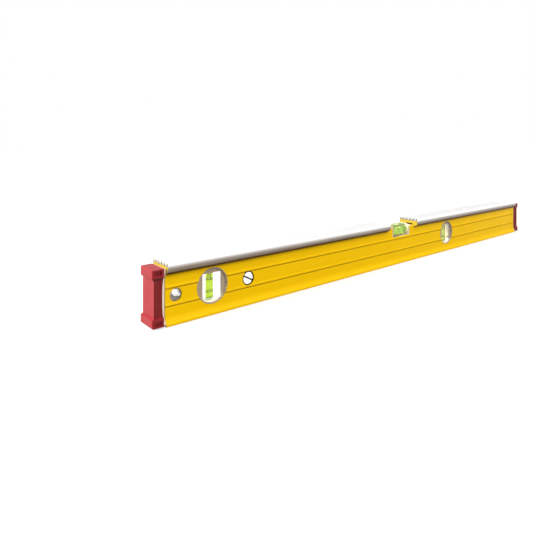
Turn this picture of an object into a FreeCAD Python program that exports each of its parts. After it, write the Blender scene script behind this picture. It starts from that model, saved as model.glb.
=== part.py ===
import FreeCAD, Part
import math
import os

# Aluminium spirit level: a box section with a ridged top rail, one level vial in a notch at
# the middle, two plumb vials in round windows, and a pull-off cap on each end.
# Millimetres. Length along X, near side towards -Y, base on Z = 0 under the middle of the body.

vector = FreeCAD.Vector
along_x = vector(1, 0, 0)
along_y = vector(0, 1, 0)
along_z = vector(0, 0, 1)
origin = vector(0, 0, 0)
full_turn = 360.0

# Whole level
overall_length = 812.0          # over both end caps
overall_height = 62.4           # base to the tips of the ridges
overall_width = 31.3            # over the rail
base_width = 26.5               # over the foot and the end caps

# Section of the body
side_recess = 3.0               # side wall back from the foot
flange_edge_height = 2.4        # upright edge at the foot
lower_cove_height = 7.1
rail_flank_height = 9.6         # upright flank of the top rail
upper_cove_height = 5.8
edge_break = 0.4
ridge_pairs = 3                 # ridges each side of the middle line
ridge_height = 3.4
ridge_tip_width = 1.5
ridge_root_width = 2.3
wall_thickness = 2.2
base_thickness = 3.6
top_thickness = 4.1             # between the box chamber and the foot of the ridges
chamber_corner = 2.0

# The two pressed lines along each side: a bead with a groove under it
line_shares = (0.249, 0.715)    # how far up the flat side each groove lies
groove_depth = 0.55
groove_run = 1.6
bead_rise = 0.5
bead_step = 0.9
bead_run = 2.6
bead_swell_share = 0.72         # of the rise that is left half way up the bead

# Openings in the side walls
axis_drop = 1.4                 # windows below half height
small_axis_drop = 0.8           # hanging hole and slotted plug below the windows
window_top_margin = 4.0         # window to the underside of the rail
end_window_from_end = 54.6
middle_window_from_middle = 129.8
hanging_hole_radius = 6.6
hanging_hole_from_end = 11.6
slotted_hole_radius = 7.9
slotted_hole_from_end = 101.4

# Notch in the rail and pocket for the level vial
notch_length = 68.0
pocket_length = 43.0
pocket_depth = 13.2             # below the floor of the notch
pocket_corner = 2.0

# End caps
cap_reach = 15.0                # cap end face beyond the cut end of the body
cap_gap = 0.3                   # slack between the cap flange and the cut end
cap_foot_height = 1.6
cap_top_drop = 4.9              # cap top below the ridge tips
cap_flange_thickness = 2.3
cap_foot_wing_height = 9.2
cap_head_wing_height = 10.9
cap_end_setback = 2.2
cap_waist_outer_recess = 0.6
cap_waist_shoulder_recess = 2.4 # just inside the wings
cap_waist_inner_recess = 4.4    # half way up, on the side of the body
cap_foot_slope_share = 0.5      # rise of the shoulders of the waist by their depth
cap_head_slope_share = 1.1
cap_corner = 1.3
cap_panel_length = 7.6
cap_panel_height = 4.0
cap_panel_depth = 1.2
cap_panel_inset = 1.8           # wing edge to the panel
flange_inset = 0.9              # flange outline inside the body outline
prong_length = 17.0
prong_fit = 0.35
prong_lead = 1.4
prong_sleeve_gap = 1.6          # prongs clear the hanging sleeve

# Fits
fit = 0.05                      # turned and moulded pieces in their holes
bubble_gap = 0.3                # bubble to the fluid round it

# Hanging sleeve and slotted plug
sleeve_wall = 1.0
sleeve_setback = 0.9
slotted_plug_radius = 6.7
slotted_plug_setback = 0.5
seal_depth = 2.0
slot_width = 1.7
slot_depth = 1.3
slot_angle = 28.0

# Plumb vials
holder_dish_depth = 2.2
holder_rim_width = 0.8
holder_dish_run = 1.6
plumb_block_width_share = 0.667 # of the dish floor
plumb_block_head_gap = 3.7      # block to the edge of the dish floor
plumb_block_foot_gap = 1.7
plumb_block_foot = 0.8
plumb_bore_radius = 4.8
plumb_stopper_height = 1.2
plumb_ring_spacing_share = 0.5
plumb_bubble_radius = 2.9
plumb_bubble_length = 7.5

# Level vial
cradle_post = 2.2
cradle_base_height = 3.4
cradle_post_rise = 0.7          # posts above the floor of the notch
cradle_wing_thickness = 1.6     # wings of the cradle that close the chamber in the notch
level_block_rise = 4.5          # crown of the block above the floor of the notch
level_block_shoulder_rise = 2.7
barrel_end_wall = 2.7
barrel_crown_wall = 1.9
barrel_foot_wall = 0.55
barrel_sag = 0.9                # ends of the bore narrower than its middle
level_ring_spacing_share = 0.424
level_bubble_length = 12.4
level_bubble_width = 7.2
level_bubble_height = 4.2
level_bubble_end_gap = 1.8      # way of the bubble to the end of the bore

# Reading rings in all three vials
ring_thickness = 0.3
ring_width = 0.6

body_length = overall_length - 2 * cap_reach
half_length = body_length / 2
half_width = base_width / 2
rail_half = overall_width / 2
wall_half = half_width - side_recess
rail_recess = rail_half - wall_half
chamber_half = wall_half - wall_thickness
rail_underside = overall_height - rail_flank_height
ridge_foot = overall_height - ridge_height
chamber_top = ridge_foot - top_thickness
cove_top = flange_edge_height + lower_cove_height
cove_start = rail_underside - upper_cove_height
axis_height = overall_height / 2 - axis_drop
small_axis_height = axis_height - small_axis_drop
window_radius = rail_underside - window_top_margin - axis_height
pocket_bottom = rail_underside - pocket_depth


def at_section(y, z):
    """A point of the cross-section."""
    return vector(0, y, z)


def chain(start, steps):
    """Edges through a chain of points. A step with two points is an arc through the first."""
    edges = []
    here = start
    for step in steps:
        there = step[-1]
        if len(step) == 2:
            edges.append(Part.Arc(here, step[0], there).toShape())
        else:
            edges.append(Part.LineSegment(here, there).toShape())
        here = there
    return edges


def both_halves(edges):
    """A closed face from the edges of its +Y half."""
    mirrored = [edge.mirror(origin, along_y) for edge in edges]
    return Part.Face(Part.Wire(Part.__sortEdges__(edges + mirrored)))


def cove_bulge(depth, height):
    """Middle point of a cove arc, measured from where it leaves the wall."""
    radius = (depth ** 2 + height ** 2) / (2 * depth)
    half_sweep = math.asin(height / radius) / 2
    return radius - radius * math.cos(half_sweep), radius * math.sin(half_sweep)


def box_between(low, high):
    size = high.sub(low)
    return Part.makeBox(size.x, size.y, size.z, low)


def cross_cylinder(radius, x, low_y, high_y, z):
    """A cylinder lying across the level."""
    return Part.makeCylinder(radius, high_y - low_y, vector(x, low_y, z), along_y)


def pressed_line(height):
    """One groove and the bead over it, from the foot up."""
    bead_foot = height + bead_step
    bead_end = bead_foot + bead_run
    bead_middle = (bead_foot + bead_end) / 2
    return [
        (at_section(wall_half, height - groove_run),),
        (at_section(wall_half - groove_depth, height),),
        (at_section(wall_half + bead_rise, bead_foot),),
        (
            at_section(wall_half + bead_rise * bead_swell_share, bead_middle),
            at_section(wall_half, bead_end),
        ),
    ]


def ridge_steps():
    """The ridges from the flank to the middle line."""
    tip = ridge_tip_width / 2
    root = ridge_root_width / 2
    outer = rail_half - tip
    pitch = 2 * outer / (2 * ridge_pairs - 1)
    steps = [
        (at_section(rail_half, overall_height - edge_break),),
        (at_section(rail_half - edge_break, overall_height),),
    ]
    for number in reversed(range(ridge_pairs)):
        centre = (2 * number + 1) * pitch / 2
        if centre < outer:
            steps.append((at_section(centre + root, ridge_foot),))
            steps.append((at_section(centre + tip, overall_height),))
        steps.append((at_section(centre - tip, overall_height),))
        steps.append((at_section(centre - root, ridge_foot),))
    steps.append((at_section(0, ridge_foot),))
    return steps


def body_section():
    """The outer outline of the body, +Y half mirrored."""
    lower_out, lower_along = cove_bulge(side_recess, lower_cove_height)
    upper_out, upper_along = cove_bulge(rail_recess, upper_cove_height)
    steps = [
        (at_section(half_width - edge_break, 0),),
        (at_section(half_width, edge_break),),
        (at_section(half_width, flange_edge_height),),
        (at_section(wall_half + lower_out, cove_top - lower_along), at_section(wall_half, cove_top)),
    ]
    for share in line_shares:
        steps += pressed_line(cove_top + share * (cove_start - cove_top))
    steps += [
        (at_section(wall_half, cove_start),),
        (
            at_section(wall_half + upper_out, cove_start + upper_along),
            at_section(rail_half, rail_underside),
        ),
    ]
    steps += ridge_steps()
    return both_halves(chain(at_section(0, 0), steps))


def chamber():
    """The hollow of the box, right through."""
    hollow = box_between(
        vector(-half_length, -chamber_half, base_thickness),
        vector(half_length, chamber_half, chamber_top),
    )
    long_edges = [edge for edge in hollow.Edges if edge.BoundBox.XLength > half_length]
    return hollow.makeFillet(chamber_corner, long_edges)


def vial_pocket():
    """The side and top opening that the level vial stands in."""
    half = pocket_length / 2
    pocket = box_between(
        vector(-half, -rail_half, pocket_bottom),
        vector(half, rail_half, overall_height),
    )
    lower_edges = [
        edge for edge in pocket.Edges
        if edge.BoundBox.ZMax < overall_height and edge.BoundBox.YLength > pocket_length / 2
    ]
    return pocket.makeFillet(pocket_corner, lower_edges)


def notch_cuts():
    """The notch in the rail, and the overhang trimmed flush with both walls under it."""
    half = notch_length / 2
    cuts = [
        box_between(
            vector(-half, -rail_half, rail_underside), vector(half, rail_half, overall_height)
        )
    ]
    for low in (-rail_half, wall_half):
        cuts.append(
            box_between(
                vector(-half, low, cove_start), vector(half, low + rail_recess, overall_height)
            )
        )
    return cuts


def level_profile():
    solid = body_section().extrude(vector(body_length, 0, 0))
    solid.translate(vector(-half_length, 0, 0))
    cuts = [chamber(), vial_pocket()] + notch_cuts()
    for radius, x, height in (
        (window_radius, end_window_from_end - half_length, axis_height),
        (window_radius, middle_window_from_middle, axis_height),
        (hanging_hole_radius, hanging_hole_from_end - half_length, small_axis_height),
        (slotted_hole_radius, slotted_hole_from_end - half_length, small_axis_height),
    ):
        cuts.append(cross_cylinder(radius, x, -half_width, half_width, height))
    return solid.cut(cuts)


def hanging_sleeve():
    """Liner tube through both walls of the hanging hole."""
    x = hanging_hole_from_end - half_length
    reach = wall_half - sleeve_setback
    outer = cross_cylinder(hanging_hole_radius - fit, x, -reach, reach, small_axis_height)
    bore = hanging_hole_radius - fit - sleeve_wall
    inner = cross_cylinder(bore, x, -reach, reach, small_axis_height)
    return outer.cut(inner)


def slotted_plug():
    """Turned plug across the box with a coin slot in each face."""
    x = slotted_hole_from_end - half_length
    reach = wall_half - slotted_plug_setback
    plug = cross_cylinder(slotted_plug_radius, x, -reach, reach, small_axis_height)
    slots = []
    for side in (-1, 1):
        floor = side * (reach - slot_depth)
        face = side * reach
        slot = box_between(
            vector(x - slotted_plug_radius, min(floor, face), small_axis_height - slot_width / 2),
            vector(x + slotted_plug_radius, max(floor, face), small_axis_height + slot_width / 2),
        )
        slot.rotate(vector(x, 0, small_axis_height), along_y, slot_angle)
        slots.append(slot)
    return plug.cut(slots)


def slotted_plug_seals():
    """Dark ring round the plug in each wall."""
    x = slotted_hole_from_end - half_length
    rings = []
    for low in (-wall_half, wall_half - seal_depth):
        high = low + seal_depth
        outer = cross_cylinder(slotted_hole_radius - fit, x, low, high, small_axis_height)
        inner = cross_cylinder(slotted_plug_radius + fit, x, low, high, small_axis_height)
        rings.append(outer.cut(inner))
    return Part.makeCompound(rings)


holder_radius = window_radius - 2 * fit
dish_face_radius = holder_radius - holder_rim_width
dish_floor_radius = dish_face_radius - holder_dish_run
block_reach = wall_half - holder_dish_depth
block_foot = axis_height - dish_floor_radius + plumb_block_foot_gap
block_top = axis_height + dish_floor_radius - plumb_block_head_gap
plumb_fluid_radius = plumb_bore_radius - ring_thickness
plumb_fluid_foot = block_foot + plumb_block_foot
plumb_fluid_top = block_top - plumb_stopper_height
plumb_ring_middle = (plumb_fluid_foot + plumb_fluid_top) / 2
plumb_ring_spacing = plumb_ring_spacing_share * (plumb_fluid_top - plumb_fluid_foot)
plumb_channel_foot = plumb_fluid_foot + plumb_block_foot


def trimmed_block(x, margin):
    """The clear block's outline: a rectangle with its corners rounded to the dish floor."""
    half = plumb_block_width_share * dish_floor_radius + margin
    rectangle = box_between(
        vector(x - half, -block_reach, block_foot - margin),
        vector(x + half, block_reach, block_top + margin),
    )
    rounding = cross_cylinder(
        dish_floor_radius - fit + margin, x, -block_reach, block_reach, axis_height
    )
    return rectangle.common(rounding)


def plumb_holder(x, side):
    """Half of the round insert, dished on its face and open for the block."""
    drum = cross_cylinder(holder_radius, x, 0, wall_half, axis_height)
    dish = Part.makeCone(
        dish_floor_radius,
        dish_face_radius,
        holder_dish_depth,
        vector(x, block_reach, axis_height),
        along_y,
    )
    half = drum.cut([dish, trimmed_block(x, fit)])
    if side < 0:
        half = half.mirror(origin, along_y)
    return half


def plumb_block(x):
    bore = Part.makeCylinder(
        plumb_bore_radius, block_top - plumb_fluid_foot, vector(x, 0, plumb_fluid_foot), along_z
    )
    return trimmed_block(x, 0).cut(bore)


def upright_capsule(radius, x, foot, top):
    """A cylinder with round ends, standing."""
    barrel = Part.makeCylinder(radius, top - foot - 2 * radius, vector(x, 0, foot + radius), along_z)
    ends = [
        Part.makeSphere(radius, vector(x, 0, foot + radius)),
        Part.makeSphere(radius, vector(x, 0, top - radius)),
    ]
    return barrel.fuse(ends).removeSplitter()


def plumb_fluid(x):
    """Fluid column, with the way that the bubble takes left open."""
    column = Part.makeCylinder(
        plumb_fluid_radius, plumb_fluid_top - plumb_fluid_foot, vector(x, 0, plumb_fluid_foot), along_z
    )
    way = Part.makeCylinder(
        plumb_bubble_radius + bubble_gap,
        plumb_fluid_top - plumb_channel_foot,
        vector(x, 0, plumb_channel_foot),
        along_z,
    )
    return column.cut(way)


def plumb_bubble(x):
    """The bubble at rest, at the top of the upright bore."""
    top = plumb_fluid_top - bubble_gap
    return upright_capsule(plumb_bubble_radius, x, top - plumb_bubble_length, top)


def plumb_rings(x):
    rings = []
    for way in (-1, 1):
        low = plumb_ring_middle + way * plumb_ring_spacing / 2 - ring_width / 2
        outer = Part.makeCylinder(plumb_bore_radius - fit, ring_width, vector(x, 0, low), along_z)
        inner = Part.makeCylinder(plumb_fluid_radius + fit, ring_width, vector(x, 0, low), along_z)
        rings.append(outer.cut(inner))
    return Part.makeCompound(rings)


def plumb_stopper(x):
    return Part.makeCylinder(
        plumb_bore_radius - fit, plumb_stopper_height, vector(x, 0, plumb_fluid_top), along_z
    )


block_length = pocket_length - 2 * cradle_post - 4 * fit
level_block_foot = pocket_bottom + fit
level_crown = rail_underside + level_block_rise
level_shoulder = rail_underside + level_block_shoulder_rise
level_walls = barrel_crown_wall + barrel_foot_wall
barrel_middle_radius = (level_crown - level_block_foot - level_walls) / 2
barrel_end_radius = barrel_middle_radius - barrel_sag
barrel_axis = level_crown - barrel_crown_wall - barrel_middle_radius
level_reach = wall_half - fit
fluid_half = block_length / 2 - barrel_end_wall
level_ring_spacing = level_ring_spacing_share * 2 * fluid_half


def barrel(shrink):
    """The barrel-shaped hollow of the level vial, drawn in by shrink."""
    middle = barrel_middle_radius - shrink
    end = barrel_end_radius - shrink
    edges = chain(
        vector(-fluid_half, 0, 0),
        [
            (vector(-fluid_half, 0, end),),
            (vector(0, 0, middle), vector(fluid_half, 0, end)),
            (vector(fluid_half, 0, 0),),
            (vector(-fluid_half, 0, 0),),
        ],
    )
    solid = Part.Face(Part.Wire(edges)).revolve(origin, along_x, full_turn)
    solid.translate(vector(0, 0, barrel_axis))
    return solid


def centre_block():
    """Clear block with a rounded crown and a barrel-shaped bore."""
    steps = [
        (at_section(level_reach, level_block_foot),),
        (at_section(level_reach, level_shoulder),),
    ]
    half = chain(at_section(0, level_block_foot), steps)
    crown = Part.Arc(
        at_section(level_reach, level_shoulder),
        at_section(0, level_crown),
        at_section(-level_reach, level_shoulder),
    ).toShape()
    mirrored = [edge.mirror(origin, along_y) for edge in half]
    face = Part.Face(Part.Wire(Part.__sortEdges__(half + [crown] + mirrored)))
    solid = face.extrude(vector(block_length, 0, 0))
    solid.translate(vector(-block_length / 2, 0, 0))
    mouth = Part.makeCylinder(
        barrel_end_radius, barrel_end_wall, vector(fluid_half, 0, barrel_axis), along_x
    )
    return solid.cut([barrel(0), mouth])


level_bubble_top = barrel_axis + barrel_end_radius - ring_thickness - bubble_gap
level_bubble_middle = level_bubble_top - level_bubble_height / 2


def ellipse_face(half_y, half_z):
    """An upright ellipse across the level, on the bubble's middle line."""
    wide = vector(0, half_y, 0)
    tall = vector(0, 0, half_z)
    centre = vector(0, 0, level_bubble_middle)
    curve = Part.Ellipse(centre + wide, centre + tall, centre)
    return Part.Face(Part.Wire([curve.toShape()]))


def centre_fluid():
    """Fluid barrel, with the way that the bubble takes left open."""
    reach = fluid_half - level_bubble_end_gap + bubble_gap
    way = ellipse_face(level_bubble_width / 2 + bubble_gap, level_bubble_height / 2 + bubble_gap)
    way = way.extrude(vector(2 * reach, 0, 0))
    way.translate(vector(-reach, 0, 0))
    return barrel(ring_thickness).cut(way)


def centre_bubble():
    """The bubble at rest, an egg shape between the rings."""
    stretch = FreeCAD.Matrix()
    stretch.scale(
        level_bubble_length / level_bubble_height, level_bubble_width / level_bubble_height, 1
    )
    bubble = Part.makeSphere(level_bubble_height / 2).transformGeometry(stretch)
    bubble.translate(vector(0, 0, level_bubble_middle))
    return bubble


def barrel_radius_at(x, shrink):
    """Radius of the barrel at a distance from its middle."""
    middle = barrel_middle_radius - shrink
    curve = (fluid_half ** 2 + barrel_sag ** 2) / (2 * barrel_sag)
    return middle - curve + math.sqrt(curve ** 2 - x ** 2)


def centre_rings():
    rings = []
    near = level_ring_spacing / 2 - ring_width / 2
    far = level_ring_spacing / 2 + ring_width / 2
    outer_radius = barrel_radius_at(far, 0) - fit
    inner_radius = barrel_radius_at(near, ring_thickness) + fit
    for low in (-far, near):
        place = vector(low, 0, barrel_axis)
        outer = Part.makeCylinder(outer_radius, ring_width, place, along_x)
        inner = Part.makeCylinder(inner_radius, ring_width, place, along_x)
        rings.append(outer.cut(inner))
    return Part.makeCompound(rings)


def centre_stopper():
    return Part.makeCylinder(
        barrel_end_radius - fit, barrel_end_wall, vector(fluid_half, 0, barrel_axis), along_x
    )


def centre_cradle():
    """Moulded saddle: a base in the box, a post at each end, a wing on each post."""
    half = pocket_length / 2 - fit
    base = box_between(
        vector(-half, -chamber_half + fit, level_block_foot - cradle_base_height),
        vector(half, chamber_half - fit, level_block_foot),
    )
    post = box_between(
        vector(half - cradle_post, -level_reach, level_block_foot),
        vector(half, level_reach, rail_underside + cradle_post_rise),
    )
    low_edges = [
        edge for edge in post.Edges
        if edge.BoundBox.ZMax < level_block_foot + fit and edge.BoundBox.XMin > half - fit
    ]
    post = post.makeFillet(pocket_corner, low_edges)
    root = box_between(
        vector(half - cradle_post, -chamber_half + fit, level_block_foot - cradle_base_height),
        vector(half, chamber_half - fit, level_block_foot + pocket_corner),
    )
    wing = box_between(
        vector(half - cradle_post, -chamber_half + fit, rail_underside - cradle_wing_thickness),
        vector(notch_length / 2 - fit, chamber_half - fit, rail_underside),
    )
    one_side = [post, root, wing]
    other_side = [piece.mirror(origin, along_x) for piece in one_side]
    return base.fuse(one_side + other_side).removeSplitter()


cap_outer = -half_length - cap_reach
cap_inner = -half_length - cap_gap - cap_flange_thickness
cap_top = overall_height - cap_top_drop
waist_foot = cap_foot_height + cap_foot_wing_height
waist_top = cap_top - cap_head_wing_height


def waist_corners(depth):
    """Depth and height at the corners of a recess, with shoulders sloping out to the wings."""
    return [
        (0, waist_foot - cap_foot_slope_share * depth),
        (depth, waist_foot),
        (depth, waist_top),
        (0, waist_top + cap_head_slope_share * depth),
    ]


def cap_side_recess():
    """Recess in the +Y side of the waist: tapered along the level, hollowed half way up."""
    plan = [
        vector(cap_outer, half_width - cap_waist_outer_recess, 0),
        vector(cap_inner, half_width - cap_waist_inner_recess, 0),
        vector(cap_inner, half_width, 0),
        vector(cap_outer, half_width, 0),
    ]
    plan_face = Part.Face(Part.makePolygon(plan + plan[:1]))
    tapered = plan_face.extrude(vector(0, 0, overall_height))
    foot, low, high, head = [
        vector(cap_outer, half_width - y, z)
        for y, z in waist_corners(cap_waist_shoulder_recess)
    ]
    hollow = vector(cap_outer, half_width - cap_waist_inner_recess, (waist_foot + waist_top) / 2)
    edges = chain(foot, [(low,), (hollow, high), (head,), (foot,)])
    hollowed = Part.Face(Part.Wire(edges)).extrude(vector(cap_inner - cap_outer, 0, 0))
    return tapered.common(hollowed)


def cap_end_recess():
    """Shallow recess across the end face of the waist."""
    outline = [vector(cap_outer + x, -half_width, z) for x, z in waist_corners(cap_end_setback)]
    face = Part.Face(Part.makePolygon(outline + outline[:1]))
    return face.extrude(vector(0, base_width, 0))


def wing_panels():
    """Sunk panel on the side of each wing."""
    panels = []
    middle = (cap_outer + cap_inner) / 2
    for low in (cap_foot_height + cap_panel_inset, cap_top - cap_panel_inset - cap_panel_height):
        for floor in (-half_width, half_width - cap_panel_depth):
            panels.append(
                box_between(
                    vector(middle - cap_panel_length / 2, floor, low),
                    vector(
                        middle + cap_panel_length / 2,
                        floor + cap_panel_depth,
                        low + cap_panel_height,
                    ),
                )
            )
    return panels


def end_cap_shell():
    """Red block: wings at head and foot, a tapered waist between them."""
    block = box_between(
        vector(cap_outer, -half_width, cap_foot_height),
        vector(cap_inner, half_width, cap_top),
    )
    outer_edges = [
        edge for edge in block.Edges if edge.BoundBox.XMax < cap_outer + edge_break
    ]
    block = block.makeFillet(cap_corner, outer_edges)
    side = cap_side_recess()
    cuts = [side, side.mirror(origin, along_y), cap_end_recess()] + wing_panels()
    return block.cut(cuts)


def flange_face(x):
    """Outline of the cap flange, a little inside the outline of the body."""
    wide = half_width - flange_inset
    narrow = wall_half - flange_inset
    steps = [
        (vector(x, wide, cap_foot_height + flange_inset),),
        (vector(x, wide, flange_edge_height + flange_inset),),
        (vector(x, narrow, cove_top),),
        (vector(x, narrow, cove_start),),
        (vector(x, wide, rail_underside),),
        (vector(x, wide, cap_top - flange_inset),),
        (vector(x, 0, cap_top - flange_inset),),
    ]
    return both_halves(chain(vector(x, 0, cap_foot_height + flange_inset), steps))


def plug_tongue():
    """Two prongs with tapered tips, a sliding fit in the box, open round the hanging sleeve."""
    root = cap_inner + cap_flange_thickness
    tip = root + prong_length
    half = chamber_half - prong_fit
    tongue = box_between(
        vector(root, -half, base_thickness + prong_fit),
        vector(tip, half, chamber_top - prong_fit),
    )
    long_edges = [edge for edge in tongue.Edges if edge.BoundBox.XLength > prong_length / 2]
    tongue = tongue.makeFillet(chamber_corner, long_edges)
    tip_edges = [edge for edge in tongue.Edges if edge.BoundBox.XMin > tip - prong_lead / 2]
    tongue = tongue.makeChamfer(prong_lead, tip_edges)
    clear = hanging_hole_radius + prong_sleeve_gap
    opening = box_between(
        vector(root, -half, small_axis_height - clear),
        vector(tip, half, small_axis_height + clear),
    )
    return tongue.cut(opening)


def end_cap_plug():
    """Pale flange with the prongs moulded on."""
    flange = flange_face(cap_inner).extrude(vector(cap_flange_thickness, 0, 0))
    return flange.fuse(plug_tongue()).removeSplitter()


def to_other_end(shape):
    return shape.mirror(origin, along_x)


def plumb_vial(name, x):
    """All pieces of one plumb vial."""
    return {
        name + "_holder_near": plumb_holder(x, -1),
        name + "_holder_far": plumb_holder(x, 1),
        name + "_block": plumb_block(x),
        name + "_fluid": plumb_fluid(x),
        name + "_bubble": plumb_bubble(x),
        name + "_rings": plumb_rings(x),
        name + "_stopper": plumb_stopper(x),
    }


def centre_vial():
    """All pieces of the level vial."""
    return {
        "centre_vial_cradle": centre_cradle(),
        "centre_vial_block": centre_block(),
        "centre_vial_fluid": centre_fluid(),
        "centre_vial_bubble": centre_bubble(),
        "centre_vial_rings": centre_rings(),
        "centre_vial_stopper": centre_stopper(),
    }


pieces = {
    "level_profile": level_profile(),
    "hanging_sleeve": hanging_sleeve(),
    "slotted_plug": slotted_plug(),
    "slotted_plug_seals": slotted_plug_seals(),
    "end_cap_left_shell": end_cap_shell(),
    "end_cap_left_plug": end_cap_plug(),
    "end_cap_right_shell": to_other_end(end_cap_shell()),
    "end_cap_right_plug": to_other_end(end_cap_plug()),
}
pieces.update(centre_vial())
pieces.update(plumb_vial("plumb_vial_end", end_window_from_end - half_length))
pieces.update(plumb_vial("plumb_vial_middle", middle_window_from_middle))

os.makedirs("parts", exist_ok=True)
for node, shape in pieces.items():
    shape.exportStep("parts/" + node + ".step")
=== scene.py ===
import bpy
import math
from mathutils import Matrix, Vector


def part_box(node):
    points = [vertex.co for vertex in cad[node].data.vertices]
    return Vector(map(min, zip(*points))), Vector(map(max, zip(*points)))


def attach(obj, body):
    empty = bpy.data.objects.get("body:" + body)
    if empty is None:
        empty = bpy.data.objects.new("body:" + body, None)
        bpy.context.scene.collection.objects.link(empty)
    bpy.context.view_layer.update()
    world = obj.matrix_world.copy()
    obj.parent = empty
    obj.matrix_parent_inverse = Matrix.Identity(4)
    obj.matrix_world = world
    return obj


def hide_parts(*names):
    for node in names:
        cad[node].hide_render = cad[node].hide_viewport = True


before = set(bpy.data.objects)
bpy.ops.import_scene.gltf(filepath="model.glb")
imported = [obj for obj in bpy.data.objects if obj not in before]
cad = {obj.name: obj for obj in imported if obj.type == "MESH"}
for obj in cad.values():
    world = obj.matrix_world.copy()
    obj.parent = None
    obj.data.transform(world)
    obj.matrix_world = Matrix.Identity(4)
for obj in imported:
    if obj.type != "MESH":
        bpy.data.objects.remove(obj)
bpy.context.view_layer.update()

mm = 0.001


# Body: an aluminium box extrusion, powder coated yellow, sawn to length and cut through for
# its notch, windows and holes. The ridged rail and the base are then milled, which leaves
# them bright metal. Painted shade darkens the grooves, the cove under the rail and the foot
# of the rail's flank. The flank is painted from dark low to bright high for its reflection,
# and the sawn rims at the ends are painted lighter where the caps shade them.
yellow = (0.85, 0.515, 0.0008, 1)
yellow_deep = (0.81, 0.475, 0.0004, 1)
# painted shade: the dark brown painted into the grooves, the cove under the rail and the foot
# of the rail's flank
painted_shade = (0.035, 0.012, 0.0, 1)
sawn = (0.35, 0.245, 0.02, 1)
sawn_tips = (0.13, 0.115, 0.045, 1)
# painted light: the sawn rims at the ends are painted lighter where the caps shade them
sawn_rim_painted_light = (0.95, 0.68, 0.2, 1)
# painted shade and reflection: the rail's flank goes from this dark colour at its foot to
# bright metal at the top
rail_painted_shade = (0.135, 0.09, 0.055, 1)
rail_bright = (0.99, 0.99, 0.985, 1)
drawn_grey = (0.75, 0.75, 0.74, 1)
base_pale = (0.9, 0.9, 0.89, 1)
base_grey = (0.6, 0.59, 0.57, 1)
coat_shine = 0.06
coat_gloss = (0.42, 0.50)
metal_gloss = (0.28, 0.44)
chamber_half = 8.06 * mm
groove_floor = 9.75 * mm
wall_half = 10.25 * mm
cove_half = 10.4 * mm
base_milled = 0.12 * mm
chamber_foot = 3.59 * mm
shade_start = 48.2 * mm
shade_full = 51.2 * mm
rail_underside = 52.8 * mm
rail_start = 52.82 * mm
flank_shade_top = 54.1 * mm
chamber_top = 54.91 * mm
tips_start = 57.6 * mm
tips_full = 60.1 * mm
rail_milled = 60.6 * mm
end_zone = 380 * mm
flank_steady = -200 * mm
flank_fade_at_end = 3.6
flank_fade = 2.6
groove_shade_share = 0.6
cove_shade_fade = 1.2
streak_strength = 0.12
drawn_out = (0.03, 1, 1)
cut_facing = 0.6
wall_facing = 0.3
patch_low = 0.3
patch_high = 0.7


def feed(tree, node, sockets):
    """What goes into a node's sockets: a number, a colour, or what another node gives."""
    for name, value in sockets.items():
        if isinstance(value, bpy.types.NodeSocket):
            tree.links.new(value, node.inputs[name])
        else:
            node.inputs[name].default_value = value


def step(tree, kind, sockets=None, **settings):
    """One node, with its settings and what goes into it."""
    node = tree.nodes.new(kind)
    for name, value in settings.items():
        setattr(node, name, value)
    feed(tree, node, sockets or {})
    return node


def new_finish(name):
    """A finish with one shader on it."""
    finish = bpy.data.materials.new(name)
    finish.use_nodes = True
    tree = finish.node_tree
    tree.nodes.clear()
    shader = step(tree, "ShaderNodeBsdfPrincipled")
    step(tree, "ShaderNodeOutputMaterial", {"Surface": shader.outputs[0]})
    return finish, tree, shader


def sum_of(tree, way, first, second=0.0):
    """A sum on one or two values."""
    return step(tree, "ShaderNodeMath", {0: first, 1: second}, operation=way).outputs[0]


def both(tree, first, second):
    """Where two masks meet, or a value times another."""
    return sum_of(tree, "MULTIPLY", first, second)


def either(tree, first, second):
    """Where one of two masks is, or both are."""
    return sum_of(tree, "MAXIMUM", first, second)


def rest_of(tree, share):
    """Where a mask isn't."""
    return sum_of(tree, "SUBTRACT", 1.0, share)


def above(tree, value, limit):
    """Where a value is more than its limit."""
    return sum_of(tree, "GREATER_THAN", value, limit)


def below(tree, value, limit):
    """Where a value is less than its limit."""
    return sum_of(tree, "LESS_THAN", value, limit)


def size_of(tree, value):
    """A value without its sign."""
    return sum_of(tree, "ABSOLUTE", value)


def between(tree, share, first, second):
    """A number between two."""
    return step(tree, "ShaderNodeMix", {0: share, 2: first, 3: second}).outputs[0]


def blended(tree, share, first, second):
    """A colour between two."""
    sockets = {0: share, 6: first, 7: second}
    return step(tree, "ShaderNodeMix", sockets, data_type="RGBA").outputs[2]


def graded(tree, value, start, end, low=0.0, high=1.0):
    """A value that goes from low to high while another goes from start to end."""
    sockets = {"Value": value, "From Min": start, "From Max": end}
    sockets.update({"To Min": low, "To Max": high})
    return step(tree, "ShaderNodeMapRange", sockets).outputs[0]


def place_on(tree):
    """Where a point of the piece lies, and how far along, across and up that is."""
    place = step(tree, "ShaderNodeTexCoord").outputs["Object"]
    return place, step(tree, "ShaderNodeSeparateXYZ", {0: place}).outputs


def facing_on(tree):
    """How far the surface faces along, across and up."""
    facing = step(tree, "ShaderNodeNewGeometry").outputs["True Normal"]
    return step(tree, "ShaderNodeSeparateXYZ", {0: facing}).outputs


def mottle(tree, place, per_metre, depth, stretch=(1, 1, 1)):
    """Uneven patches, so many to a metre."""
    mapped = step(tree, "ShaderNodeMapping", {"Vector": place, "Scale": stretch}).outputs[0]
    sockets = {"Vector": mapped, "Scale": per_metre, "Detail": depth}
    return step(tree, "ShaderNodeTexNoise", sockets).outputs[0]


def uneven(tree, patches, low, high):
    """A number that wanders from low to high with the patches."""
    return graded(tree, patches, patch_low, patch_high, low, high)


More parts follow.
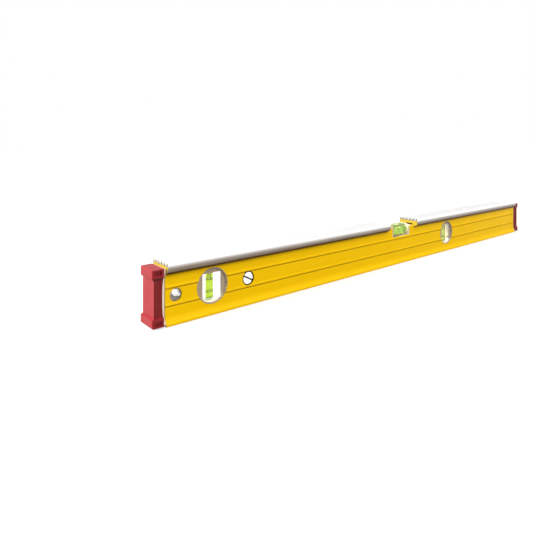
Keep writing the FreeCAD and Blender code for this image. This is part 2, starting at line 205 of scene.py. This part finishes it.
def skin(tree, shader, height, strength, depth, edge=None):
    """A fine relief all over, and edges rounded as far as edge says."""
    sockets = {"Height": height, "Strength": strength, "Distance": depth}
    if edge:
        rounded = step(tree, "ShaderNodeBevel", {"Radius": edge}, samples=4)
        sockets["Normal"] = rounded.outputs[0]
    bump = step(tree, "ShaderNodeBump", sockets)
    feed(tree, shader, {"Normal": bump.outputs[0]})


def body_finish():
    """Powder coat on the walls, sawn faces at the cuts, and milled metal on rail and base,
    with painted shade, a painted flank reflection and painted light on the end rims.
    """
    finish, tree, shader = new_finish("powder_coat_and_milled_rail")
    place, (along, across, up) = place_on(tree)
    end_on, side_on, _ = facing_on(tree)
    width = size_of(tree, across)
    cut_face = above(tree, size_of(tree, end_on), cut_facing)
    long_face = rest_of(tree, cut_face)
    wall = both(tree, above(tree, size_of(tree, side_on), wall_facing), long_face)
    rail = both(tree, above(tree, up, rail_start), long_face)
    base = below(tree, up, base_milled)
    inside = both(tree, below(tree, width, chamber_half), above(tree, up, chamber_foot))
    inside = both(tree, both(tree, inside, below(tree, up, chamber_top)), long_face)
    bare = either(tree, either(tree, rail, base), inside)

    patches = mottle(tree, place, per_metre=55, depth=3)
    coat = blended(tree, patches, yellow, yellow_deep)
    # Painted shade in the grooves, deepening towards their floors, and in the cove under the
    # rail.
    groove_shade = graded(tree, width, wall_half, groove_floor, high=groove_shade_share)
    groove_shade = both(tree, groove_shade, wall)
    cove_shade = graded(tree, up, shade_start, shade_full)
    cove_shade = sum_of(tree, "POWER", cove_shade, cove_shade_fade)
    cove_shade = both(tree, cove_shade, above(tree, width, cove_half))
    coat = blended(tree, either(tree, groove_shade, cove_shade), coat, painted_shade)
    cut = blended(tree, graded(tree, up, tips_start, tips_full), sawn, sawn_tips)
    at_ends = above(tree, size_of(tree, along), end_zone)
    # Painted light: the sawn ends below the cove are painted lighter where the caps shade them.
    painted_rim = both(tree, at_ends, below(tree, up, shade_full))
    coat = blended(tree, cut_face, coat, blended(tree, painted_rim, cut, sawn_rim_painted_light))

    drawn = mottle(tree, place, per_metre=900, depth=3, stretch=drawn_out)
    # Painted reflection and shade: the flank is painted from dark at its foot to bright at the
    # milled top.
    flank = graded(tree, up, rail_underside, rail_milled)
    fade = graded(tree, along, -end_zone, flank_steady, flank_fade_at_end, flank_fade)
    metal = blended(tree, sum_of(tree, "POWER", flank, fade), rail_painted_shade, rail_bright)
    metal = blended(tree, uneven(tree, drawn, 0.0, streak_strength), metal, drawn_grey)
    # Painted shade along the foot of the rail's flank, just above the cove; it is also left
    # non-metallic.
    flank_foot_shade = both(tree, graded(tree, up, flank_shade_top, rail_underside), rail)
    flank_foot_shade = both(tree, flank_foot_shade, above(tree, width, wall_half))
    metal = blended(tree, flank_foot_shade, metal, painted_shade)
    metal = blended(tree, inside, metal, rail_bright)
    metal = blended(tree, base, metal, blended(tree, drawn, base_pale, base_grey))

    coat_sheen = uneven(tree, patches, *coat_gloss)
    metal_sheen = uneven(tree, drawn, *metal_gloss)
    sockets = {
        "Base Color": blended(tree, bare, coat, metal),
        "Metallic": both(tree, bare, rest_of(tree, flank_foot_shade)),
        "Specular IOR Level": coat_shine,
        "Roughness": between(tree, bare, coat_sheen, metal_sheen),
    }
    feed(tree, shader, sockets)
    peel = mottle(tree, place, per_metre=1300, depth=2)
    height = between(tree, bare, peel, drawn)
    skin(tree, shader, height, strength=0.12, depth=0.05 * mm, edge=0.25 * mm)
    return finish


def dress(node, finish):
    """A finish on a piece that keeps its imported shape."""
    finishes = cad[node].data.materials
    finishes.clear()
    finishes.append(finish)


dress("level_profile", body_finish())


# Liner of the hanging hole: a thin, bright, smooth tube pressed through both walls.
# Its rims are painted dark as shade, and painted shade lies on its floor by the mouths.
liner_bright = (0.96, 0.96, 0.95, 1)
liner_soft = (0.92, 0.92, 0.91, 1)
# painted shade: the brown on the tube's floor and the dark rim colour below stand in for shade
# in the hole
liner_painted_shade = (0.24, 0.21, 0.17, 1)
liner_rim_painted_shade = (0.16, 0.13, 0.09, 1)
liner_metallic = 0.9
floor_and_rim_gloss = 0.6
polished_gloss = 0.3
rim_facing = 0.7
shade_in_middle = 0.14
shade_at_mouth = 0.34
shade_raggedness = 1.6 * mm


def shaded_floor(tree, place, measures):
    """Painted shade on the floor of the tube, up to an uneven edge that climbs towards the
    mouths.
    """
    low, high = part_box("hanging_sleeve")
    ragged = sum_of(tree, "SUBTRACT", mottle(tree, place, per_metre=700, depth=1), 0.5)
    height = sum_of(tree, "ADD", measures[2], both(tree, ragged, shade_raggedness))
    depth = size_of(tree, measures[1])
    edge = graded(tree, depth, 0.0, high.y, shade_in_middle, shade_at_mouth)
    return below(tree, graded(tree, height, low.z, high.z), edge)


def liner_finish():
    """A polished tube with its rim painted dark as shade, and painted shade on its floor."""
    finish, tree, shader = new_finish("liner_polished")
    place, measures = place_on(tree)
    _, side_on, _ = facing_on(tree)
    painted_rim = above(tree, size_of(tree, side_on), rim_facing)
    # Painted shade on the rim and on the floor of the tube.
    floor_shade = shaded_floor(tree, place, measures)
    unshaded = rest_of(tree, either(tree, floor_shade, painted_rim))
    patches = mottle(tree, place, per_metre=120, depth=3)
    shade = blended(tree, patches, liner_bright, liner_soft)
    shade = blended(tree, floor_shade, shade, liner_painted_shade)
    sockets = {
        "Base Color": blended(tree, painted_rim, shade, liner_rim_painted_shade),
        "Metallic": both(tree, unshaded, liner_metallic),
        "Roughness": graded(tree, unshaded, 0.0, 1.0, floor_and_rim_gloss, polished_gloss),
    }
    feed(tree, shader, sockets)
    grain = mottle(tree, place, per_metre=2200, depth=3)
    skin(tree, shader, grain, strength=0.05, depth=0.05 * mm, edge=0.2 * mm)
    return finish


dress("hanging_sleeve", liner_finish())


# Slotted plug: turned from bright bar, with a coin slot in each face, the slot painted dark as
# shade.
# A black rubber ring seals it in each wall.
turned_bright = (0.93, 0.92, 0.90, 1)
turned_soft = (0.80, 0.79, 0.77, 1)
smear_grey = (0.45, 0.43, 0.41, 1)
slot_painted_shade = (0.035, 0.03, 0.028, 1)
rubber = (0.02, 0.014, 0.008, 1)
rubber_worn = (0.03, 0.02, 0.012, 1)
turned_gloss = (0.2, 0.34)
smear_limits = (0.5, 0.7)
face_depth = 0.15 * mm
tool_pitch = 0.35 * mm
gloss_spread = 0.08
darkened_share = 0.3


def from_axis(tree, place, centre):
    """How far a point is from a line across the level."""
    offset = step(tree, "ShaderNodeVectorMath", {0: place, 1: centre}, operation="SUBTRACT")
    sockets = {0: offset.outputs[0], 1: (1, 0, 1)}
    flat = step(tree, "ShaderNodeVectorMath", sockets, operation="MULTIPLY")
    length = step(tree, "ShaderNodeVectorMath", {0: flat.outputs[0]}, operation="LENGTH")
    return length.outputs["Value"]


def turned_finish():
    """Bright metal with fine tool rings and smears, and painted shade in the slot."""
    finish, tree, shader = new_finish("turned_bright_metal")
    place, (_, across, _) = place_on(tree)
    low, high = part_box("slotted_plug")
    # Painted shade: the slot is painted dark, matt and non-metallic.
    in_slot = below(tree, size_of(tree, across), high.y - face_depth)
    patches = mottle(tree, place, per_metre=700, depth=3)
    smears = graded(tree, mottle(tree, place, per_metre=200, depth=2), *smear_limits)
    shade = blended(tree, patches, turned_bright, turned_soft)
    shade = blended(tree, smears, shade, smear_grey)
    sockets = {
        "Base Color": blended(tree, in_slot, shade, slot_painted_shade),
        "Metallic": rest_of(tree, in_slot),
        "Roughness": uneven(tree, patches, *turned_gloss),
    }
    feed(tree, shader, sockets)
    radius = from_axis(tree, place, (low + high) / 2)
    tool_rings = sum_of(tree, "SINE", both(tree, radius, 2 * math.pi / tool_pitch))
    skin(tree, shader, tool_rings, strength=0.25, depth=0.02 * mm, edge=0.3 * mm)
    return finish


def moulded_finish(
    name, colour, second, gloss, grain=0.06, third=None, where=None, shine=0.5, marks_and_shade=None
):
    """Moulding in two close shades, with a third one in some places, and darker in others."""
    finish, tree, shader = new_finish(name)
    place, measures = place_on(tree)
    patches = mottle(tree, place, per_metre=120, depth=3)
    shade = blended(tree, patches, colour, second)
    if third:
        shade = blended(tree, where(tree, measures), shade, third)
    # Darker where marked, or where shade is painted in.
    if marks_and_shade:
        darker = [part * darkened_share for part in colour[:3]] + [1]
        shade = blended(tree, marks_and_shade(tree, measures), shade, darker)
    sockets = {
        "Base Color": shade,
        "Specular IOR Level": shine,
        "Roughness": uneven(tree, patches, gloss, gloss + gloss_spread),
    }
    feed(tree, shader, sockets)
    pores = mottle(tree, place, per_metre=2200, depth=3)
    skin(tree, shader, pores, strength=grain, depth=0.08 * mm, edge=0.2 * mm)
    return finish


dress("slotted_plug", turned_finish())
seal_rubber = moulded_finish("seal_rubber", rubber, rubber_worn, gloss=0.7, shine=0.1)
dress("slotted_plug_seals", seal_rubber)


# Plumb vials: a clear acrylic block bored for the fluid, held between two dished rings of
# grey moulding. Two black rings in the bore show where the bubble stands when the level is
# upright, and a plastic stopper closes the bore.
grey = (0.37, 0.285, 0.195, 1)
grey_deep = (0.32, 0.245, 0.165, 1)
# painted light: the pale colour on the upward-facing foot of each dish
ledge_painted_light = (0.88, 0.81, 0.64, 1)
white = (1, 1, 1, 1)
ledge_reach = 1.2 * mm
ledge_limits = (0.5, 0.7)
mark_half = 0.5 * mm
dish_facing = 0.8
acrylic = (0.98, 0.98, 0.97, 1)
milled = (0.90, 0.86, 0.72, 1)
# painted shade: darker copies of the milled side and the green fluid, for the middle vial
milled_painted_shade = (0.52, 0.43, 0.17, 1)
fluid_green = (0.41, 0.58, 0.012, 1)
fluid_green_painted_shade = (0.41, 0.48, 0.012, 1)
bubble_pale = (0.97, 1.0, 0.93, 1)
bubble_edge = (0.10, 0.22, 0.02, 1)
ring_ink = (0.02, 0.03, 0.01, 1)
ring_ink_worn = (0.03, 0.04, 0.015, 1)
stopper = (0.52, 0.43, 0.24, 1)
stopper_deep = (0.47, 0.39, 0.21, 1)
acrylic_bend = 1.49
acrylic_to_fluid = 1.049
fluid_to_fluid = 1.0
fluid_to_air = 0.74
milled_frost = 0.35
tint_on_lamps = 0.3
bubble_edge_limits = (0.45, 0.85)
bore_slack = 0.1 * mm
foot_slack = 1 * mm
film = 0.05 * mm
square_on = 0.9


def lit_ledge(tree, measures):
    """The foot of the dish, painted pale as light on its floor and the upward part of its
    sloping side.
    """
    _, side_on, upward = facing_on(tree)
    low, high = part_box("plumb_vial_end_block")
    sloping = below(tree, size_of(tree, side_on), dish_facing)
    depth = size_of(tree, measures[1])
    ledge = both(tree, sloping, graded(tree, upward, *ledge_limits))
    ledge = both(tree, ledge, below(tree, depth, high.y + ledge_reach))
    floor = below(tree, depth, high.y + bore_slack)
    floor = both(tree, below(tree, measures[2], low.z), floor)
    return either(tree, ledge, floor)


def index_marks(tree, measures):
    """The small marks half way up the dish, on each side."""
    _, side_on, _ = facing_on(tree)
    low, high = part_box("plumb_vial_end_holder_near")
    sloping = below(tree, size_of(tree, side_on), dish_facing)
    from_middle = sum_of(tree, "SUBTRACT", measures[2], (low.z + high.z) / 2)
    return both(tree, sloping, below(tree, size_of(tree, from_middle), mark_half))


def mixed_over(tree, shader, share, other):
    """Another shader in place of the finish's own, as far as share says."""
    sockets = {0: share, 1: shader.outputs[0], 2: other.outputs[0]}
    mixed = step(tree, "ShaderNodeMixShader", sockets)
    output = next(node for node in tree.nodes if node.type == "OUTPUT_MATERIAL")
    feed(tree, output, {"Surface": mixed.outputs[0]})


def lamps_through(tree, shader, colour):
    """Lets the lamps' light through a clear piece to what is in it, with less of its colour."""
    paler = [1 - tint_on_lamps * (1 - part) for part in colour]
    through = step(tree, "ShaderNodeBsdfTransparent", {"Color": paler})
    shadow = step(tree, "ShaderNodeLightPath").outputs["Is Shadow Ray"]
    mixed_over(tree, shader, shadow, through)


def clear_finish(name, colour, bend, frost=0.0, clearness=1.0, shine=0.5):
    """A clear solid, polished but for a faint waviness, or frosted and less clear."""
    finish, tree, shader = new_finish(name)
    sockets = {
        "Base Color": colour,
        "Transmission Weight": clearness,
        "IOR": bend,
        "Roughness": frost,
        "Specular IOR Level": shine,
    }
    feed(tree, shader, sockets)
    place, _ = place_on(tree)
    waves = mottle(tree, place, per_metre=90, depth=2)
    skin(tree, shader, waves, strength=0.03, depth=0.3 * mm)
    lamps_through(tree, shader, colour)
    return finish


def bubble_finish():
    """Air in the fluid: pale, as no dye is in it, with a dark edge where light turns away."""
    finish, tree, shader = new_finish("bubble_air")
    edge = step(tree, "ShaderNodeLayerWeight", {"Blend": 0.4}).outputs["Facing"]
    edge = graded(tree, edge, *bubble_edge_limits)
    sockets = {
        "Base Color": blended(tree, edge, bubble_pale, bubble_edge),
        "Transmission Weight": 0.6,
        "Roughness": 0.05,
        "IOR": fluid_to_air,
    }
    feed(tree, shader, sockets)
    lamps_through(tree, shader, white)
    return finish


# Painted light: the upward-facing foot of each dish is painted pale.
holder_grey = moulded_finish(
    "holder_grey", grey, grey_deep, gloss=0.45, third=ledge_painted_light, where=lit_ledge,
    shine=0.35, marks_and_shade=index_marks,
)
clear_acrylic = clear_finish("clear_acrylic", acrylic, acrylic_bend)
wetted_bore = clear_finish("wetted_bore", white, acrylic_to_fluid)
milled_side = clear_finish("milled_side", milled, acrylic_bend, milled_frost)
# Painted shade: the middle vial's side and fluid are darker copies of the end vial's.
milled_side_painted_shade = clear_finish("milled_side_painted_shade", milled_painted_shade, acrylic_bend, milled_frost, clearness=0.25)
green_fluid = clear_finish("green_fluid", fluid_green, fluid_to_fluid)
green_fluid_painted_shade = clear_finish("green_fluid_shaded_copy", fluid_green_painted_shade, fluid_to_fluid)
bubble_air = bubble_finish()
ring_black = moulded_finish("ring_black", ring_ink, ring_ink_worn, gloss=0.5)
stopper_plastic = moulded_finish("stopper_plastic", stopper, stopper_deep, gloss=0.4)


def show(piece, node):
    """Puts a piece in the place of a packed one."""
    bpy.context.scene.collection.objects.link(piece)
    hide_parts(node)
    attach(piece, "level_body")


def clear_block(vial, in_bore, ends, foot):
    """The vial's block: clear, wetted in the bore, with other finishes on its ends and foot."""
    piece = bpy.data.objects.new(vial + "_clear_block", cad[vial + "_block"].data.copy())
    piece.data.materials.clear()
    for finish in (clear_acrylic, wetted_bore, ends, foot):
        piece.data.materials.append(finish)
    corners = piece.data.vertices
    for face in piece.data.polygons:
        if all(in_bore(corners[number].co) for number in face.vertices):
            face.material_index = 1
        elif abs(face.normal.x) > square_on:
            face.material_index = 2
        elif face.normal.z < -square_on:
            face.material_index = 3
    show(piece, vial + "_block")


def turned_solid(name, outline, place_of, finish, facets=96):
    """A closed solid turned from (distance, radius) points, laid out by place_of."""
    corners = []
    for distance, radius in outline:
        for number in range(facets):
            angle = 2 * math.pi * number / facets
            one_way, other_way = radius * math.cos(angle), radius * math.sin(angle)
            corners.append(place_of(distance, one_way, other_way))
    faces = [tuple(reversed(range(facets)))]
    for ring in range(len(outline) - 1):
        here = ring * facets
        beyond = here + facets
        for number in range(facets):
            after = (number + 1) % facets
            faces.append((here + number, here + after, beyond + after, beyond + number))
    faces.append(tuple(range((len(outline) - 1) * facets, len(outline) * facets)))
    mesh = bpy.data.meshes.new(name)
    mesh.from_pydata(corners, [], faces)
    mesh.materials.append(finish)
    for face in mesh.polygons:
        face.use_smooth = len(face.vertices) == 4
    return bpy.data.objects.new(name, mesh)


def plumb_vial(vial, fluid, side_face):
    """One plumb vial: its block and its fluid, and finishes on its other pieces."""
    low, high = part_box(vial + "_fluid")
    ring_low, ring_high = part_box(vial + "_rings")
    middle = (low.x + high.x) / 2
    bore = (ring_high.x - ring_low.x) / 2 + bore_slack
    foot = low.z - foot_slack

    def in_bore(corner):
        return math.hypot(corner.x - middle, corner.y) < bore and corner.z > foot

    def upright(up, x, y):
        return (middle + x, y, up)

    clear_block(vial, in_bore, side_face, milled_side)
    radius = (high.x - low.x) / 2
    outline = [(low.z + film, radius), (high.z - film, radius)]
    column = turned_solid(vial + "_green_column", outline, upright, fluid)
    show(column, vial + "_fluid")
    dress(vial + "_bubble", bubble_air)
    dress(vial + "_rings", ring_black)
    dress(vial + "_stopper", stopper_plastic)
    dress(vial + "_holder_near", holder_grey)
    dress(vial + "_holder_far", holder_grey)


plumb_vial("plumb_vial_end", green_fluid, milled_side)
# The middle vial takes the painted-shade copies of the side and fluid finishes.
plumb_vial("plumb_vial_middle", green_fluid_painted_shade, milled_side_painted_shade)


# Level vial: a longer acrylic block with a barrel-shaped bore, glued into a pale moulded
# cradle. The cradle's wings lie on the floor of the notch.
cradle = (0.55, 0.43, 0.29, 1)
cradle_deep = (0.50, 0.39, 0.26, 1)
# painted shade: the darker colour on the posts' faces
cradle_painted_shade = (0.30, 0.21, 0.12, 1)
# painted shade: the level block's milled ends are a darker copy of the plumb blocks' milled
# sides
end_painted_shade = (0.38, 0.31, 0.17, 1)
foot_cream = (0.98, 0.86, 0.45, 1)
fluid_deep = (0.30, 0.49, 0.022, 1)
end_frost = 0.4
post_facing = 0.7
mouth_step = 0.25 * mm
barrel_slack = 0.4 * mm
end_slack = 0.01 * mm
barrel_stretches = 24


def shaded_post_faces(tree, measures):
    """The faces of the two posts, painted darker as shade."""
    end_on, _, _ = facing_on(tree)
    return above(tree, size_of(tree, end_on), post_facing)


# Painted shade on the faces of the cradle's posts.
cradle_pale = moulded_finish(
    "cradle_pale", cradle, cradle_deep, gloss=0.45, third=cradle_painted_shade, where=shaded_post_faces
)
frosted_end = clear_finish("frosted_end", end_painted_shade, acrylic_bend, end_frost, clearness=0.1)
frosted_foot = clear_finish(
    "frosted_foot", foot_cream, acrylic_bend, end_frost, clearness=0.0, shine=0.0
)
level_green = clear_finish("green_fluid_deep", fluid_deep, fluid_to_fluid)


def level_vial(vial):
    """The level vial: its block and its fluid, and finishes on its other pieces."""
    low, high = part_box(vial + "_fluid")
    _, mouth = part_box(vial + "_stopper")
    axis = (low.z + high.z) / 2
    end_radius = mouth.y - mouth_step
    belly = high.y - end_radius
    bore = high.y + barrel_slack
    far_end = high.x + end_slack

    def in_bore(corner):
        return math.hypot(corner.y, corner.z - axis) < bore and corner.x < far_end

    def lying(along, y, z):
        return (along, y, axis + z)

    clear_block(vial, in_bore, frosted_end, frosted_foot)
    outline = []
    for number in range(barrel_stretches + 1):
        share = 2 * number / barrel_stretches - 1
        radius = end_radius + belly * (1 - share * share)
        outline.append((share * (high.x - film), radius))
    barrel = turned_solid(vial + "_green_barrel", outline, lying, level_green)
    show(barrel, vial + "_fluid")
    dress(vial + "_bubble", bubble_air)
    dress(vial + "_rings", ring_black)
    dress(vial + "_stopper", stopper_plastic)
    dress(vial + "_cradle", cradle_pale)


level_vial("centre_vial")


# End caps: red shock-absorbing plastic, waisted between a wing at the top and the foot.
# A pale plug with two prongs holds each in the box.
red = (0.235, 0.0095, 0.0135, 1)
red_deep = (0.215, 0.008, 0.011, 1)
# painted shade: the darker red on the caps' sides
red_painted_shade = (0.155, 0.0005, 0.001, 1)
pale = (0.72, 0.60, 0.46, 1)
pale_deep = (0.67, 0.56, 0.42, 1)
panel_depth = 0.3 * mm
waist_height = 26.4 * mm
side_limits = (0.5, 0.9)
slope_facing = 0.3


def shaded_sides(tree, measures):
    """The sides of the waist and the floors of the wings' panels, painted darker as shade."""
    _, side_on, _ = facing_on(tree)
    _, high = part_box("end_cap_left_shell")
    sideways = graded(tree, size_of(tree, side_on), *side_limits)
    depth = sum_of(tree, "SUBTRACT", high.y, size_of(tree, measures[1]))
    return both(tree, sideways, above(tree, depth, panel_depth))


def under_wing(tree, measures):
    """The slope under the sides of each head wing, out of the light."""
    _, side_on, upward = facing_on(tree)
    sideways = above(tree, size_of(tree, side_on), slope_facing)
    slope = below(tree, upward, -slope_facing)
    slope = both(tree, slope, above(tree, measures[2], waist_height))
    return both(tree, slope, sideways)


# Painted shade on the caps' sides and on the slope under each head wing.
cap_red = moulded_finish(
    "cap_red", red, red_deep, gloss=0.42, grain=0.1, third=red_painted_shade, where=shaded_sides,
    shine=0.25, marks_and_shade=under_wing,
)
plug_pale = moulded_finish("cap_plug_pale", pale, pale_deep, gloss=0.4)
for side in ("left", "right"):
    dress("end_cap_" + side + "_shell", cap_red)
    dress("end_cap_" + side + "_plug", plug_pale)


# Table: a pale, matt sheet that the level stands on, lit softly from the upper left.
# Only the camera, and what shows in metal and clear plastic, sees it as white.
table_grey = (0.15, 0.15, 0.15, 1)
table_pale = (0.90, 0.90, 0.90, 1)
table_paler = (0.92, 0.92, 0.92, 1)
table_glow = 0.6
table_half = 30.0
table_drop = 0.05 * mm
sky_at_rim = 0.25
sky_overhead = 0.9
to_the_back = (-0.3, 0.95, 0)
dark_room = 0.35
room_limits = (-0.95, -0.3)


def table_finish():
    """Grey for the light that it throws on the level, and near white where it is seen."""
    finish, tree, shader = new_finish("pale_table")
    place, _ = place_on(tree)
    path = step(tree, "ShaderNodeLightPath").outputs
    seen = either(tree, path["Is Camera Ray"], path["Is Glossy Ray"])
    seen = either(tree, seen, path["Is Transmission Ray"])
    patches = mottle(tree, place, per_metre=6, depth=2)
    sheet = blended(tree, patches, table_pale, table_paler)
    sockets = {
        "Base Color": blended(tree, seen, table_grey, sheet),
        "Roughness": 0.9,
        "Specular IOR Level": 0.0,
    }
    feed(tree, shader, sockets)
    glow = step(tree, "ShaderNodeEmission", {"Color": white, "Strength": 1.0})
    mixed_over(tree, shader, both(tree, seen, table_glow), glow)
    return finish


outer, inner = table_half, -table_half
rim_points = [(inner, inner, 0), (outer, inner, 0), (outer, outer, 0), (inner, outer, 0)]
table_mesh = bpy.data.meshes.new("table")
table_mesh.from_pydata(rim_points, [], [(0, 1, 2, 3)])
table_mesh.materials.append(table_finish())
table = bpy.data.objects.new("table", table_mesh)
table.location.z = -table_drop
bpy.context.scene.collection.objects.link(table)


def studio_air():
    """Soft light from all round, brighter overhead, and a white room where it is seen."""
    world = bpy.data.worlds.new("studio")
    world.use_nodes = True
    tree = world.node_tree
    tree.nodes.clear()
    path = step(tree, "ShaderNodeLightPath").outputs
    plain = either(tree, path["Is Camera Ray"], path["Is Transmission Ray"])
    seen = either(tree, plain, path["Is Glossy Ray"])
    towards = step(tree, "ShaderNodeTexCoord").outputs["Generated"]
    height = step(tree, "ShaderNodeSeparateXYZ", {0: towards}).outputs[2]
    sky = graded(tree, height, 0.0, 1.0, sky_at_rim, sky_overhead)
    soft = step(tree, "ShaderNodeBackground", {"Color": white, "Strength": sky})
    sockets = {0: towards, 1: to_the_back}
    backward = step(tree, "ShaderNodeVectorMath", sockets, operation="DOT_PRODUCT")
    room = graded(tree, backward.outputs["Value"], *room_limits, low=dark_room)
    room = either(tree, plain, room)
    mirrored = step(tree, "ShaderNodeBackground", {"Color": white, "Strength": room})
    sockets = {0: seen, 1: soft.outputs[0], 2: mirrored.outputs[0]}
    shown = step(tree, "ShaderNodeMixShader", sockets)
    step(tree, "ShaderNodeOutputWorld", {"Surface": shown.outputs[0]})
    return world


def lamp(name, towards, strength, spread):
    """A far lamp, given by the way from the level to it and its spread in degrees."""
    data = bpy.data.lights.new(name, "SUN")
    data.energy = strength
    data.angle = math.radians(spread)
    light = bpy.data.objects.new(name, data)
    light.rotation_euler = Vector(towards).to_track_quat("Z", "Y").to_euler()
    bpy.context.scene.collection.objects.link(light)


bpy.context.scene.world = studio_air()
lamp("key_lamp", towards=(-0.82, 0.33, 0.47), strength=8.0, spread=40)
lamp("front_lamp", towards=(0.10, -0.78, 0.62), strength=2.5, spread=60)

camera_data = bpy.data.cameras.new("camera")
camera_data.lens = 30.437
camera_data.sensor_width = 36.0
camera_data.shift_y = -0.23697
camera_data.clip_start = 0.01
camera_data.clip_end = 200.0
camera = bpy.data.objects.new("camera", camera_data)
camera.location = (-0.60316, -0.41999, 0.17691)
camera.rotation_euler = (math.pi / 2, -0.0017, -0.6928)
bpy.context.scene.collection.objects.link(camera)
bpy.context.scene.camera = camera
bpy.context.scene.view_settings.view_transform = "Standard"
